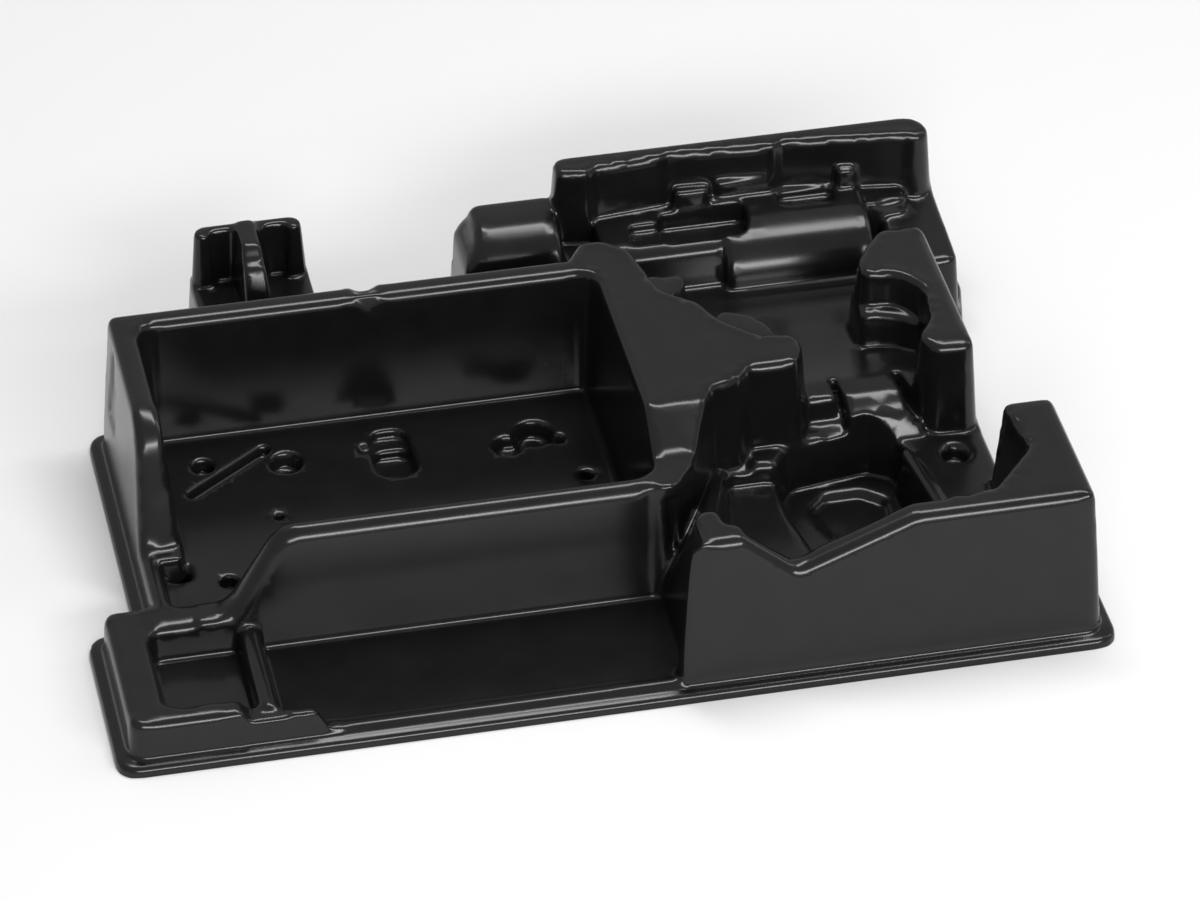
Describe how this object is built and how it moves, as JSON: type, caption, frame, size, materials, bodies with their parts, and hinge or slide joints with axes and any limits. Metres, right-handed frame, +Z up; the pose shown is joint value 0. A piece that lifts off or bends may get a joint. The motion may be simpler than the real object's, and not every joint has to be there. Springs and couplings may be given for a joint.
{
  "type": "tool case insert",
  "caption": "Moulded plastic insert for a stackable tool case, with a long bin, a front trough and shaped pockets that hold a hand tool and its bits.",
  "frame": {"origin": "centre of the bounding box, on the plane on which the skirt rests", "axes": "+X to the right along the long side, +Y to the rear, +Z up out of the pockets"},
  "size_m": [0.372, 0.273, 0.065],
  "materials": {
    "sheet": "smooth black polystyrene sheet with a soft satin gloss"
  },
  "bodies": {
    "root": {"insert": "sheet"}
  },
  "joints": []
}
